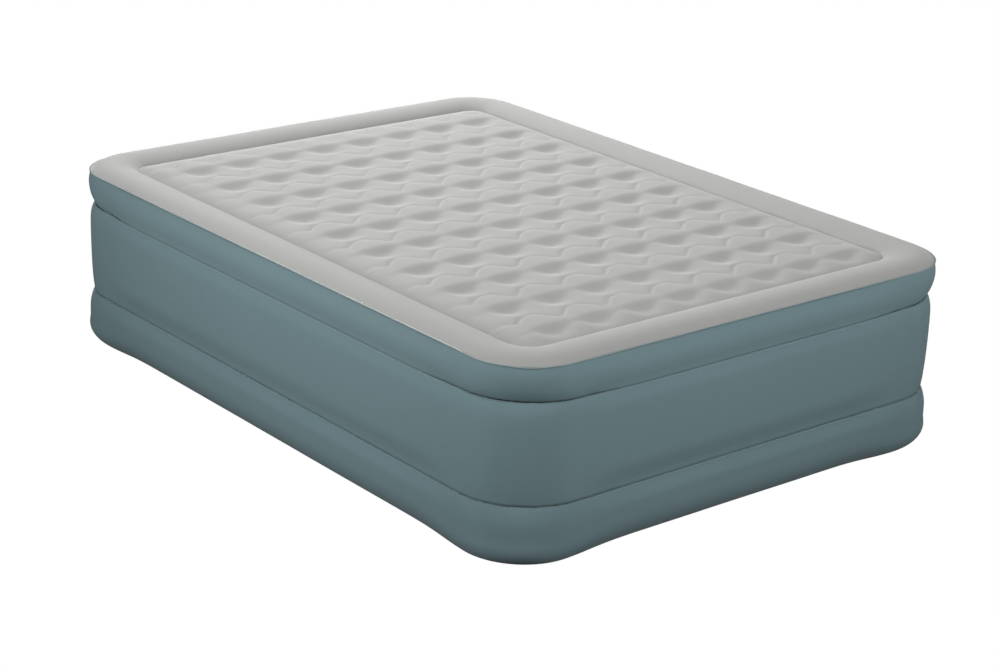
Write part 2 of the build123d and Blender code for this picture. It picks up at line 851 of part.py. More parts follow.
with BuildPart() as switch_body:
    with BuildSketch(at_switch(plate_front)):
        RectangleRounded(switch_width + 2 * bezel_margin, switch_height + 2 * bezel_margin, 3.0)
    extrude(amount=-bezel)
    with BuildSketch(at_switch(plate_front)):
        Rectangle(switch_width, switch_height)
    extrude(amount=switch_depth)
    with BuildSketch(at_switch(plate_front - bezel)):
        Rectangle(2 * cavity_half_width, 2 * cavity_half_height)
    extrude(amount=cavity_depth - plate_front + bezel, mode=Mode.SUBTRACT)
    with BuildSketch(rocker_plane.offset(-pivot_reach - fit)):
        Circle(rocker_pivot + fit)
    extrude(amount=2 * (rocker_half_height + pivot_reach + fit), mode=Mode.SUBTRACT)
finish(switch_body, "switch_body")

with BuildPart() as switch_rocker:
    with BuildSketch(rocker_plane.rotated((0, 0, rocker_tilt))):
        with BuildLine():
            Polyline(
                (-rocker_half_width, 6.0),
                (0, 4.2),
                (rocker_half_width, 6.0),
                (rocker_half_width - 3.0, -4.0),
                (-rocker_half_width + 3.0, -4.0),
                close=True,
            )
        make_face()
    extrude(amount=2 * rocker_half_height)
    with BuildSketch(rocker_plane.offset(-pivot_reach)):
        Circle(rocker_pivot)
    extrude(amount=2 * (rocker_half_height + pivot_reach))
finish(switch_rocker, "switch_rocker")

# ---------------------------------------------------------------- the flap valve
seat_front = housing_back - housing_wall
seat_back = housing_back + 2.0
flap_front = seat_back + 0.2
flap_axis_z = valve_flange_radius + 1.0
flap_axis_depth = seat_back + 4.0
lug_width = 4.0
lug_half_gap = 6.0
flap_knuckle_radius = 2.6


def at_valve(depth):
    """A plane across the valve's bore at a depth."""
    return pump_plane(depth, valve_x, valve_z)


def across_flap_hinge(x):
    """A plane across the flap's hinge pin, at a distance from the valve's middle."""
    return Plane(
        origin=(
            pump_x + valve_x + x,
            half_length - flap_axis_depth,
            pump_z + valve_z + flap_axis_z,
        ),
        x_dir=(0, -1, 0),
        z_dir=(1, 0, 0),
    )


with BuildPart() as valve_seat:
    with BuildSketch(at_valve(seat_front)):
        Circle(valve_seat_radius)
    extrude(amount=housing_wall)
    with BuildSketch(at_valve(housing_back)):
        Circle(valve_flange_radius)
        with Locations((0, flap_axis_z / 2)):
            Rectangle(2 * (lug_half_gap + lug_width), flap_axis_z + 6.0)
    extrude(amount=seat_back - housing_back)
    with BuildSketch(at_valve(seat_front)):
        Circle(valve_bore)
    extrude(amount=seat_back - seat_front, mode=Mode.SUBTRACT)
    for lug_x in (-lug_half_gap - lug_width, lug_half_gap):
        with BuildSketch(across_flap_hinge(lug_x)):
            Circle(flap_knuckle_radius)
            with Locations((-(flap_axis_depth - seat_back) / 2, 0)):
                Rectangle(flap_axis_depth - seat_back, 2 * flap_knuckle_radius)
            Circle(flap_pin_radius, mode=Mode.SUBTRACT)
        extrude(amount=lug_width)
finish(valve_seat, "valve_seat")

with BuildPart() as valve_flap:
    with BuildSketch(at_valve(flap_front + flap_seal)):
        Circle(flap_radius)
        with Locations((0, flap_axis_z / 2)):
            Rectangle(2 * (lug_half_gap - moving_gap), flap_axis_z)
    extrude(amount=flap)
    with BuildSketch(across_flap_hinge(-lug_half_gap + moving_gap)):
        Circle(flap_knuckle_radius)
    extrude(amount=2 * (lug_half_gap - moving_gap))
    with BuildSketch(across_flap_hinge(-lug_half_gap + moving_gap)):
        Circle(flap_pin_radius + fit)
    extrude(amount=2 * (lug_half_gap - moving_gap), mode=Mode.SUBTRACT)
finish(valve_flap, "valve_flap")

with BuildPart() as flap_face:
    with BuildSketch(at_valve(flap_front)):
        Circle(flap_radius)
    extrude(amount=flap_seal)
finish(flap_face, "flap_face")

with BuildPart() as flap_pin:
    with BuildSketch(across_flap_hinge(-lug_half_gap - lug_width)):
        Circle(flap_pin_radius)
    extrude(amount=2 * (lug_half_gap + lug_width))
finish(flap_pin, "flap_pin")
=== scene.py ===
"""A raised air mattress with a built-in pump, put together from the floor up.

Metres. The origin is on the floor under the middle of the bed, +Z is up and +Y points to
the head end, where the pump sits in the wall.
"""
import math

import bpy
from mathutils import Matrix, Vector, noise


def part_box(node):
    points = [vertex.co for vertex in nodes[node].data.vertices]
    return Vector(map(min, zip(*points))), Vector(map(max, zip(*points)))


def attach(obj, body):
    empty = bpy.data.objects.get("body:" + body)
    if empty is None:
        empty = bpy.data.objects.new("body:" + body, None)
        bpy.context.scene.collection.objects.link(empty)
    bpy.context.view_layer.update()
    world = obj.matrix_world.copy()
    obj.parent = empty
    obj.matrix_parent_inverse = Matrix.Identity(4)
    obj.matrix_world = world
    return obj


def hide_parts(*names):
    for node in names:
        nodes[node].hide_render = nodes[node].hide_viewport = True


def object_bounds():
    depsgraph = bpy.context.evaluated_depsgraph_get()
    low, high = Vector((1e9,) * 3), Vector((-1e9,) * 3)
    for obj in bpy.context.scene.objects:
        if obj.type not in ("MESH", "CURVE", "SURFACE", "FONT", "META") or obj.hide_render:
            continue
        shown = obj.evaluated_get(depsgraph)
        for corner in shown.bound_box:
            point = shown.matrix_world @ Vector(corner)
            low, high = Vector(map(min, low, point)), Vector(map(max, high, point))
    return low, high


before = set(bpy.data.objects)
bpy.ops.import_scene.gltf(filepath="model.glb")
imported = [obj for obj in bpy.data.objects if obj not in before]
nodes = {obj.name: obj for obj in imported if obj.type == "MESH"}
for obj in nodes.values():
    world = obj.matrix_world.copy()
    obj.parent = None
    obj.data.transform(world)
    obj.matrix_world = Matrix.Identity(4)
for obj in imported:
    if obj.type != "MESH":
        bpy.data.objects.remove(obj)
cad_low, cad_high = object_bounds()
bpy.ops.object.select_all(action="DESELECT")

# ------------------------------------------------------------------ the camera
# A long lens from beyond the foot corner on the bed's right-hand side, a little above it,
# held slightly off level.
camera_spot = Vector((-3.8810, -4.7340, 2.4118))
camera_aim = Vector((-0.0619, -0.1119, 0.2))
camera_roll = math.radians(2.065)
camera_lens = 85.32

bpy.ops.object.camera_add(location=camera_spot)
camera = bpy.context.object
camera.name = "studio_camera"
camera.data.sensor_width = 36.0
camera.data.lens = camera_lens
camera.data.clip_end = 60.0
camera.rotation_mode = "QUATERNION"
look = (camera_aim - camera_spot).to_track_quat("-Z", "Y").to_matrix()
look = look @ Matrix.Rotation(camera_roll, 3, "Z")
camera.rotation_quaternion = look.to_quaternion()
bpy.context.scene.camera = camera

# ------------------------------------------------------------------ the flocked fabric
# PVC sheet with rayon flock blown onto glue: short upright fibres that look matt from the
# front and catch the light where the surface turns away. All the outside fabric uses it.
cloud_size = 3.0
mottle_size = 55.0
fibre_size = 1400.0


def flock_effect():
    """The flock's uneven nap: a colour that wanders a little, and the height of its fibres."""
    group = bpy.data.node_groups.new("flock_nap", "ShaderNodeTree")
    group.interface.new_socket("Base", in_out="INPUT", socket_type="NodeSocketColor")
    group.interface.new_socket("Shade", in_out="INPUT", socket_type="NodeSocketColor")
    group.interface.new_socket("Unevenness", in_out="INPUT", socket_type="NodeSocketFloat")
    group.interface.new_socket("Colour", in_out="OUTPUT", socket_type="NodeSocketColor")
    group.interface.new_socket("Fibres", in_out="OUTPUT", socket_type="NodeSocketFloat")
    made, links = group.nodes, group.links
    come = made.new("NodeGroupInput")
    go = made.new("NodeGroupOutput")
    spot = made.new("ShaderNodeTexCoord")
    textures = {}
    for name, scale, detail in (
        ("clouds", cloud_size, 3.0),
        ("mottle", mottle_size, 4.0),
        ("fibres", fibre_size, 1.0),
    ):
        texture = made.new("ShaderNodeTexNoise")
        texture.inputs["Scale"].default_value = scale
        texture.inputs["Detail"].default_value = detail
        links.new(spot.outputs["Object"], texture.inputs["Vector"])
        textures[name] = texture
    both = made.new("ShaderNodeMath")
    both.operation = "ADD"
    amount = made.new("ShaderNodeMath")
    amount.operation = "MULTIPLY"
    amount.use_clamp = True
    mix = made.new("ShaderNodeMix")
    mix.data_type = "RGBA"
    links.new(textures["clouds"].outputs["Fac"], both.inputs[0])
    links.new(textures["mottle"].outputs["Fac"], both.inputs[1])
    links.new(both.outputs[0], amount.inputs[0])
    links.new(come.outputs["Unevenness"], amount.inputs[1])
    links.new(amount.outputs[0], mix.inputs["Factor"])
    links.new(come.outputs["Base"], mix.inputs["A"])
    links.new(come.outputs["Shade"], mix.inputs["B"])
    links.new(mix.outputs["Result"], go.inputs["Colour"])
    links.new(textures["fibres"].outputs["Fac"], go.inputs["Fibres"])
    return group


flock_nap = flock_effect()


def flock(name, base, shade, sheen):
    """A flocked fabric of one colour."""
    material = bpy.data.materials.new(name)
    material.use_nodes = True
    made, links = material.node_tree.nodes, material.node_tree.links
    shader = made["Principled BSDF"]
    shader.inputs["Roughness"].default_value = 0.85
    shader.inputs["Specular IOR Level"].default_value = 0.25
    shader.inputs["Sheen Weight"].default_value = sheen
    shader.inputs["Sheen Roughness"].default_value = 0.4
    nap = made.new("ShaderNodeGroup")
    nap.node_tree = flock_nap
    nap.inputs["Base"].default_value = (*base, 1.0)
    nap.inputs["Shade"].default_value = (*shade, 1.0)
    nap.inputs["Unevenness"].default_value = 0.5
    bump = made.new("ShaderNodeBump")
    bump.inputs["Strength"].default_value = 0.06
    bump.inputs["Distance"].default_value = 0.0004
    links.new(nap.outputs["Colour"], shader.inputs["Base Color"])
    links.new(nap.outputs["Fibres"], bump.inputs["Height"])
    links.new(bump.outputs["Normal"], shader.inputs["Normal"])
    return material


def smooth_vinyl(name, colour, roughness, specular=0.4):
    """Bare PVC or moulded plastic, with a faint grain in its roughness."""
    material = bpy.data.materials.new(name)
    material.use_nodes = True
    made, links = material.node_tree.nodes, material.node_tree.links
    shader = made["Principled BSDF"]
    shader.inputs["Base Color"].default_value = (*colour, 1.0)
    shader.inputs["Specular IOR Level"].default_value = specular
    spot = made.new("ShaderNodeTexCoord")
    grain = made.new("ShaderNodeTexNoise")
    grain.inputs["Scale"].default_value = 900.0
    levels = made.new("ShaderNodeMapRange")
    levels.inputs["To Min"].default_value = roughness - 0.08
    levels.inputs["To Max"].default_value = roughness + 0.08
    bump = made.new("ShaderNodeBump")
    bump.inputs["Strength"].default_value = 0.05
    bump.inputs["Distance"].default_value = 0.0002
    links.new(spot.outputs["Object"], grain.inputs["Vector"])
    links.new(grain.outputs["Fac"], levels.inputs["Value"])
    links.new(levels.outputs["Result"], shader.inputs["Roughness"])
    links.new(grain.outputs["Fac"], bump.inputs["Height"])
    links.new(bump.outputs["Normal"], shader.inputs["Normal"])
    return material


def dress(material, *names):
    """Gives pieces made with their true shape their finish."""
    for name in names:
        mesh = nodes[name].data
        mesh.materials.clear()
        mesh.materials.append(material)


grey_flock = flock("light_grey_flock", (0.385, 0.385, 0.373), (0.36, 0.36, 0.348), 0.15)
teal_flock = flock("slate_teal_flock", (0.152, 0.228, 0.248), (0.135, 0.206, 0.225), 0.10)

# ------------------------------------------------------------------ the outline of the bed
# Every wall and the rim follow one rounded outline, drawn in by a different amount and with
# a different corner at each height. A loop has its points on the four corners and between.
half_width = cad_high.x
half_length = cad_high.y
corner_points = 36
side_points = 190
end_points = 136
pull_reach = 0.11
pull_start = 0.18


def loop_places():
    """Where the points of a loop lie: the turn of their corner or side, and how far along."""
    places = []
    for quarter in range(4):
        for step in range(corner_points):
            places.append((quarter, "corner", step / corner_points))
        count = side_points if quarter % 2 == 0 else end_points
        for step in range(count):
            places.append((quarter, "side", step / count))
    return places


places = loop_places()
corner_signs = ((1, -1), (1, 1), (-1, 1), (-1, -1))


def outline_point(place, inset, corner):
    """A point of the outline drawn in by inset, with the given corner radius, and its out."""
    quarter, kind, part = place
    ends = []
    for index in (quarter, (quarter + 1) % 4):
        sign_x, sign_y = corner_signs[index]
        ends.append(
            Vector(
                (
                    sign_x * (half_width - inset - corner),
                    sign_y * (half_length - inset - corner),
                    0.0,
                )
            )
        )
    turn = math.radians(90 * quarter)
    if kind == "corner":
        turn -= math.radians(90) * (1 - part)
    out = Vector((math.cos(turn), math.sin(turn), 0.0))
    if kind == "corner":
        return ends[0] + out * corner, out
    return ends[0].lerp(ends[1], part) + out * corner, out


def corner_pull(place):
    """1 on a corner and less away from it, down to 0 along the sides."""
    quarter, kind, part = place
    if kind == "corner":
        return 1.0
    span = 2 * (half_length if quarter % 2 == 0 else half_width) - 2 * pull_start
    away = min(part, 1 - part) * span
    return math.exp(-((away / pull_reach) ** 2))


pulls = [corner_pull(place) for place in places]


def ring_skin(name, rows, point):
    """A skin round the bed: point(place, pull, part) puts each of its points.

    The part goes from 0 at the skin's first edge to 1 at its last.
    """
    count = len(places)
    verts = []
    for row in range(rows + 1):
        for place, pull in zip(places, pulls):
            verts.append(point(place, pull, row / rows))
    faces = []
    for row in range(rows):
        low, high = row * count, (row + 1) * count
        for index in range(count):
            after = (index + 1) % count
            faces.append((low + index, low + after, high + after, high + index))
    return cloth_piece(name, verts, faces)


def cloth_piece(name, verts, faces):
    """Makes an object of a skin, smooth all over."""
    mesh = bpy.data.meshes.new(name)
    mesh.from_pydata(verts, [], faces)
    mesh.update()
    piece = bpy.data.objects.new(name, mesh)
    bpy.context.scene.collection.objects.link(piece)
    bpy.ops.object.select_all(action="DESELECT")
    piece.select_set(True)
    bpy.context.view_layer.objects.active = piece
    bpy.ops.object.shade_smooth()
    return piece


def thicken(piece, thickness):
    """Gives a skin the thickness of its fabric, on the inside."""
    bpy.ops.object.select_all(action="DESELECT")
    piece.select_set(True)
    bpy.context.view_layer.objects.active = piece
    solid = piece.modifiers.new("thickness", "SOLIDIFY")
    solid.thickness = thickness
    solid.offset = -1.0
    bpy.ops.object.modifier_apply(modifier=solid.name)


def finish_piece(piece, material, slot, *stands_for, fill=None):
    """Dresses a fabric piece, seats it on the bed and hides the model's parts that it stands
    for.
    """
    piece.data.materials.append(material)
    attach(piece, "mattress")
    if stands_for:
        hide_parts(*stands_for)


def swell(part, peak, low_power, high_power):
    """How far a panel is drawn in between its edges: 1 at both edges, 0 at its fullest."""
    if part < peak:
        return ((peak - part) / peak) ** low_power
    return ((part - peak) / (1 - peak)) ** high_power


def drift(point, size, seed):
    """A slow wander from -1 to 1."""
    return noise.noise(point / size + Vector((seed, 2.0 * seed, 3.0 * seed)))


def blend(low, high, part):
    """A value between two others."""
    return low + (high - low) * part


valley_reach = 0.042


def valley(away):
    """1 on a soft crease and 0 beyond its reach, level at both ends."""
    return 0.5 + 0.5 * math.cos(math.pi * min(1.0, away / valley_reach))


fabric = 0.0008

# ------------------------------------------------------------------ the bottom sheet
# Plain black-grey vinyl, cut to the bed's outline and welded to the lower wall where the
# wall rolls under.
side_roll = 0.088
corner_roll = 0.062
bottom_z = 0.0006
bottom_reach = 0.60
bottom_corner = 0.15
bottom_inner_corner = 0.05
base_vinyl = smooth_vinyl("base_vinyl", (0.045, 0.055, 0.06), 0.6)
bottom_rows = 6


def bottom_point(place, pull, part):
    """From under the roll of the wall in towards the middle of the bed."""
    roll = blend(side_roll, corner_roll, pull)
    inset = blend(roll, bottom_reach, part)
    corner = blend(bottom_corner, bottom_inner_corner, part)
    spot, out = outline_point(place, inset, corner)
    return Vector((spot.x, spot.y, bottom_z))


bottom = ring_skin("floor_sheet", bottom_rows, bottom_point)
first_inner = bottom_rows * len(places)
bpy.ops.object.mode_set(mode="EDIT")
bpy.ops.mesh.select_all(action="DESELECT")
bpy.ops.object.mode_set(mode="OBJECT")
for vertex in bottom.data.vertices:
    vertex.select = vertex.index >= first_inner
bpy.ops.object.mode_set(mode="EDIT")
bpy.ops.mesh.select_mode(type="VERT")
bpy.ops.mesh.edge_face_add()
bpy.ops.mesh.select_all(action="SELECT")
bpy.ops.mesh.normals_make_consistent(inside=False)
bpy.ops.object.mode_set(mode="OBJECT")
thicken(bottom, -fabric)
finish_piece(bottom, base_vinyl, "base_vinyl", "bottom_sheet", "bottom_weld")

# ------------------------------------------------------------------ the lower wall
# One strip of teal flocked vinyl that rolls under the bed at its foot and is drawn in by the
# weld of the lower crease at its top. The corners roll under tighter than the sides.
lower_crease_z = 0.163
crease_inset = 0.0125
crease_gap = 0.00005
lap = 0.0006
roll_share = 0.5
lower_corner_draw = 0.003
shoulder_power = 4.5
foot_corner = 0.16
foot_corner_end_z = 0.08
wall_corner = 0.188
crease_corner = 0.196
crease_corner_start_z = 0.12
crease_corner_rise = 0.04
wave_out_limit = 0.0015
ripple_size = 0.011
fold_size = 0.035


def pucker(spot, height, seam_height, pull, seed, depth=0.0022, reach=0.016):
    """The small gathers where a corner's cloth is eased into a weld."""
    near = math.exp(-abs(height - seam_height) / reach)
    flat = Vector((spot.x, spot.y, 0.0))
    ripple = noise.noise(flat / ripple_size + Vector((seed, seed, seed)))
    fold = noise.noise(flat / fold_size + Vector((seed, 0.0, 0.0)))
    return depth * near * (0.25 + 0.75 * pull) * (0.6 * ripple + 0.7 * fold)


def lower_point(place, pull, part):
    """The lower wall, from the floor up to the lower crease."""
    roll = blend(side_roll, corner_roll, pull)
    full = blend(0.0, lower_corner_draw, pull)
    base_z = bottom_z + lap
    top_z = lower_crease_z - crease_gap
    if part < roll_share:
        turn = math.radians(90) * part / roll_share
        inset = full + roll * (1 - math.sin(turn))
        height = base_z + roll * (1 - math.cos(turn))
    else:
        up = (part - roll_share) / (1 - roll_share)
        height = blend(base_z + roll, top_z, up)
        drawn = blend(valley(top_z - height), up**shoulder_power, pull)
        inset = full + (crease_inset - full) * drawn
    corner = blend(foot_corner, wall_corner, min(1.0, height / foot_corner_end_z))
    near_crease = max(0.0, (height - crease_corner_start_z) / crease_corner_rise)
    corner = blend(corner, crease_corner, near_crease)
    spot, out = outline_point(place, inset, corner)
    push = 0.0013 * drift(Vector((spot.x, spot.y, height)), 0.22, 3.0) * min(1.0, height / 0.03)
    push += pucker(spot, height, top_z, pull, 11.0)
    spot = spot + out * min(push, inset + wave_out_limit)
    return Vector((spot.x, spot.y, height))


lower = ring_skin("lower_wall", 26, lower_point)
thicken(lower, fabric)
finish_piece(lower, teal_flock, "side_flock", "lower_band", fill=0.9)

# ------------------------------------------------------------------ the two creases
# Narrow welds that join one strip of wall to the next and hold the sheets across the inside;
# they are sunk between the fuller walls.
upper_crease_z = 0.418
strip_inset = 0.0200
strip_width = 0.012
strip_thickness = 0.0022
strip_waver = 0.0004


def weld_ring(name, inset, width, corner, height, thickness, waver):
    """A flat weld strip round the bed with a closed, slightly rounded section."""
    section = ((0, -0.5), (0.5, -0.5), (1, -0.3), (1, 0.3), (0.5, 0.5), (0, 0.5), (0, -0.5))

    def weld_point(place, pull, part):
        step = section[round(part * (len(section) - 1))]
        own = inset + width * (1 - step[0])
        spot, out = outline_point(place, own, corner)
        lift = waver * drift(Vector((spot.x, spot.y, height)), 0.05, 7.0)
        return Vector((spot.x, spot.y, height + thickness * step[1] + lift * (0.3 + pull)))

    ring = ring_skin(name, len(section) - 1, weld_point)
    bpy.ops.object.mode_set(mode="EDIT")
    bpy.ops.mesh.select_all(action="SELECT")
    bpy.ops.mesh.remove_doubles(threshold=0.00001)
    bpy.ops.mesh.normals_make_consistent(inside=False)
    bpy.ops.object.mode_set(mode="OBJECT")
    return ring


for name, height, stands_for in (
    ("lower_crease_strip", lower_crease_z, "lower_crease_weld"),
    ("upper_crease_strip", upper_crease_z, "upper_crease_weld"),
):
    strip = weld_ring(
        name, strip_inset, strip_width, crease_corner, height, strip_thickness, strip_waver
    )
    finish_piece(strip, teal_flock, "seam_vinyl", stands_for)

# ------------------------------------------------------------------ the middle wall
# The tall strip of teal flocked vinyl. It is fullest above its middle and leans in towards
# the lower crease; the pump's collar is welded into it near a corner of the head end.
collar_low, collar_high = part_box("pump_collar")
collar_middle = (collar_low + collar_high) / 2
collar_tuck = 0.0065
tuck_reach = 0.035
head_depth = 0.05
collar_lap = 0.006
middle_corner_draw = 0.0090
middle_peak = 0.70
middle_low_power = 2.1
middle_high_power = 4.5
low_valley_stretch = 0.6
wall_fullness_power = 6.0
upper_crease_inset = 0.0175
side_crease_inset = 0.0068


def collar_dip(spot, height):
    """How far the wall is drawn in round the pump's collar."""
    if spot.y < half_length - head_depth:
        return 0.0
    over_x = abs(spot.x - collar_middle.x) - (collar_high.x - collar_low.x) / 2
    over_z = abs(height - collar_middle.z) - (collar_high.z - collar_low.z) / 2
    over = math.hypot(max(over_x, 0.0), max(over_z, 0.0))
    near = max(0.0, 1 - over / tuck_reach)
    return collar_tuck * near * near * (3 - 2 * near)


def middle_point(place, pull, part):
    """The middle wall, from the lower crease up to the upper one."""
    low_z, high_z = lower_crease_z + crease_gap, upper_crease_z - crease_gap
    height = blend(low_z, high_z, part)
    full = blend(0.0, middle_corner_draw, pull)
    if part < middle_peak:
        edge = crease_inset
        soft = valley(low_valley_stretch * (height - low_z))
    else:
        edge = blend(side_crease_inset, upper_crease_inset, pull)
        soft = valley(high_z - height)
    drawn = blend(soft, swell(part, middle_peak, middle_low_power, middle_high_power), pull)
    inset = full + (edge - full) * drawn
    fullness = 1 - swell(part, 0.5, wall_fullness_power, wall_fullness_power)
    corner = blend(crease_corner, wall_corner, fullness)
    spot, out = outline_point(place, inset, corner)
    push = 0.0016 * fullness * drift(Vector((spot.x, spot.y, height)), 0.26, 5.0)
    push += pucker(spot, height, low_z, pull, 17.0, 0.0030)
    push += pucker(spot, height, high_z, pull, 23.0, 0.0014)
    spot = spot + out * (min(push, inset + wave_out_limit) - collar_dip(spot, height))
    return Vector((spot.x, spot.y, height))


middle = ring_skin("middle_wall", 34, middle_point)
bpy.ops.object.mode_set(mode="EDIT")
bpy.ops.mesh.select_all(action="DESELECT")
bpy.ops.mesh.select_mode(type="FACE")
bpy.ops.object.mode_set(mode="OBJECT")
for face in middle.data.polygons:
    spot = face.center
    inside_x = (collar_high.x - collar_low.x) / 2 - abs(spot.x - collar_middle.x)
    inside_z = (collar_high.z - collar_low.z) / 2 - abs(spot.z - collar_middle.z)
    at_collar = spot.y > half_length - head_depth and min(inside_x, inside_z) > collar_lap
    corner_cut = inside_x + inside_z > 4 * collar_lap
    face.select = at_collar and corner_cut
bpy.ops.object.mode_set(mode="EDIT")
bpy.ops.mesh.delete(type="FACE")
bpy.ops.object.mode_set(mode="OBJECT")
thicken(middle, fabric)
finish_piece(middle, teal_flock, "side_flock", "middle_band", fill=0.9)

# ------------------------------------------------------------------ the upper wall
# The low strip of teal flocked vinyl under the colour seam. It stands fuller than the wall
# below it, so it overhangs the upper crease.
seam_z = 0.508
seam_inset = 0.019
seam_corner = 0.163
seam_clearance = 0.0014
upper_corner_draw = 0.0105
upper_side_draw = 0.0015
upper_peak = 0.52
upper_low_power = 2.4
upper_high_power = 2.2
upper_fullness_power = 3.0
overhang = 0.002


def upper_point(place, pull, part):
    """The upper wall, from the upper crease up to the colour seam."""
    low_z, high_z = upper_crease_z + crease_gap, seam_z - seam_clearance
    height = blend(low_z, high_z, part)
    full = blend(upper_side_draw, upper_corner_draw, pull)
    low_inset = blend(side_crease_inset, upper_crease_inset + overhang, pull)
    edge = low_inset if part < upper_peak else seam_inset
    drawn = swell(part, upper_peak, upper_low_power, upper_high_power)
    if part < upper_peak:
        drawn = blend(valley(height - low_z), drawn, pull)
    inset = full + (edge - full) * drawn
    corner = blend(crease_corner, seam_corner, part)
    spot, out = outline_point(place, inset, corner)
    fullness = 1 - swell(part, 0.5, upper_fullness_power, upper_fullness_power)
    push = 0.0016 * fullness * drift(Vector((spot.x, spot.y, height)), 0.20, 9.0)
    push += pucker(spot, height, low_z, pull, 29.0, 0.0018)
    push += pucker(spot, height, high_z, pull, 31.0, 0.0022)
    spot = spot + out * min(push, inset + wave_out_limit)
    return Vector((spot.x, spot.y, height))


upper = ring_skin("upper_wall", 18, upper_point)
thicken(upper, fabric)
finish_piece(upper, teal_flock, "side_flock", "upper_band", fill=0.95)

# ------------------------------------------------------------------ the colour seam
# The welded edge between the grey top and the teal wall: a narrow pale lip of bare vinyl
# that stands just clear of the cloth.
lip_stand = 0.0035
lip_width = 0.010
lip_waver = 0.0012
pale_vinyl = smooth_vinyl("pale_seam_vinyl", (0.26, 0.31, 0.31), 0.5)
lip_inset = seam_inset - lip_stand
seam = weld_ring(
    "colour_seam", lip_inset, lip_width, seam_corner, seam_z, strip_thickness, lip_waver
)
finish_piece(seam, pale_vinyl, "seam_vinyl", "colour_seam_weld")

# ------------------------------------------------------------------ the rim of the top
# A broad low tube of grey flocked vinyl round the sleeping surface, welded to the wall at
# its outer edge and to the panel at its inner foot.
rim_top_z = 0.5258
rim_crest = 0.073
rim_foot = 0.142
rim_foot_corner = 0.060
rim_gap_z = 0.0012
rim_gap_inset = 0.001
rim_shown = 0.94
rim_tuck = 0.010
outer_power = 1.9
inner_power = 1.6
panel_z = 0.5035


def rim_point(place, pull, part):
    """The rim, from the colour seam over its crest and down to the panel."""
    turn = math.radians(180) * min(1.0, part / rim_shown)
    if part < 0.5 * rim_shown:
        wide = rim_crest - seam_inset - rim_gap_inset
        base, power = seam_z + rim_gap_z, outer_power
    else:
        wide = rim_foot - rim_crest
        base, power = panel_z, inner_power
    inset = rim_crest - wide * math.cos(turn)
    height = base + (rim_top_z - base) * max(0.0, math.sin(turn)) ** power
    corner = blend(seam_corner, rim_foot_corner, (inset - seam_inset) / (rim_foot - seam_inset))
    spot, out = outline_point(place, inset, corner)
    lift = 0.0012 * drift(Vector((spot.x, spot.y, 0.0)), 0.18, 13.0) * math.sin(turn)
    push = pucker(spot, height, seam_z, pull, 37.0, 0.0022)
    spot = spot + out * push
    height -= rim_tuck * max(0.0, part - rim_shown) / (1 - rim_shown)
    return Vector((spot.x, spot.y, height + lift))


rim = ring_skin("rim_tube", 34, rim_point)
thicken(rim, fabric)
finish_piece(rim, grey_flock, "top_flock", "top_rim", fill=0.95)

# ------------------------------------------------------------------ the sleeping panel
# Grey flocked vinyl welded down to the wave-shaped beams inside. The welds run across the
# bed in pairs, a soft wave and a strong one; the rows between the two of a pair are puffed
# into a chain of full cells, and the rows between the pairs lie flatter.
wave_pitch = 0.170
wave_gap = 0.083
wave_shift_x = 0.012
wave_shift_y = -0.010
wave_groups = 10
wave_period = 0.140
strong_wave = 0.021
soft_wave = 0.010
waves = 8
panel_inset = 0.134
panel_half_x = half_width - panel_inset
panel_half_y = half_length - panel_inset
first_soft_y = -((wave_groups - 1) * wave_pitch + wave_gap) / 2
wave_end = waves * wave_period / 2
row_steps = 13
column_step = 0.0070
crown_height = 0.0155
pinch_height = 0.0124
flat_height = 0.0112
margin_height = 0.0095
strong_weld_height = 0.0088
deep_weld_height = 0.0012
shallow_weld_height = 0.0106
deep_reach = 0.046
shallow_reach = 0.024
edge_reach = 0.052
strong_reach = 0.011
strong_far_reach = 0.030
deep_power = 1.15
cell_round = 0.0012
wave_squareness = 0.12
fade_start = 0.03
fade_length = 0.045
edge_fall_length = 0.060
full_away = 1.0


def wave_shape(along):
    """A wave from -1 to 1 with broad crests at the middles of the full cells."""
    phase = 2 * math.pi * (along - wave_shift_x + wave_end) / wave_period
    square = wave_squareness * (1 - math.cos(2 * phase))
    return square - math.cos(phase)


def wave_fade(along):
    """1 over the waves and 0 past their ends, near the rim."""
    past = (abs(along - wave_shift_x) - (wave_end - fade_start)) / fade_length
    past = min(1.0, max(0.0, past))
    return 1 - past * past * (3 - 2 * past)


weld_lines = [(-panel_half_y, 0.0)]
for group in range(wave_groups):
    soft_y = first_soft_y + group * wave_pitch + wave_shift_y
    weld_lines.append((soft_y, -soft_wave))
    weld_lines.append((soft_y + wave_gap, strong_wave))
weld_lines.append((panel_half_y, 0.0))
last_row = len(weld_lines) - 2


def line_y(line, along):
    """Where a weld line lies, across the bed."""
    base, swing = weld_lines[line]
    return base + swing * wave_shape(along) * wave_fade(along)


def settle(away, reach):
    """0 on a weld line and 1 beyond its reach."""
    part = min(1.0, max(0.0, away / reach))
    return part * part * (3 - 2 * part)


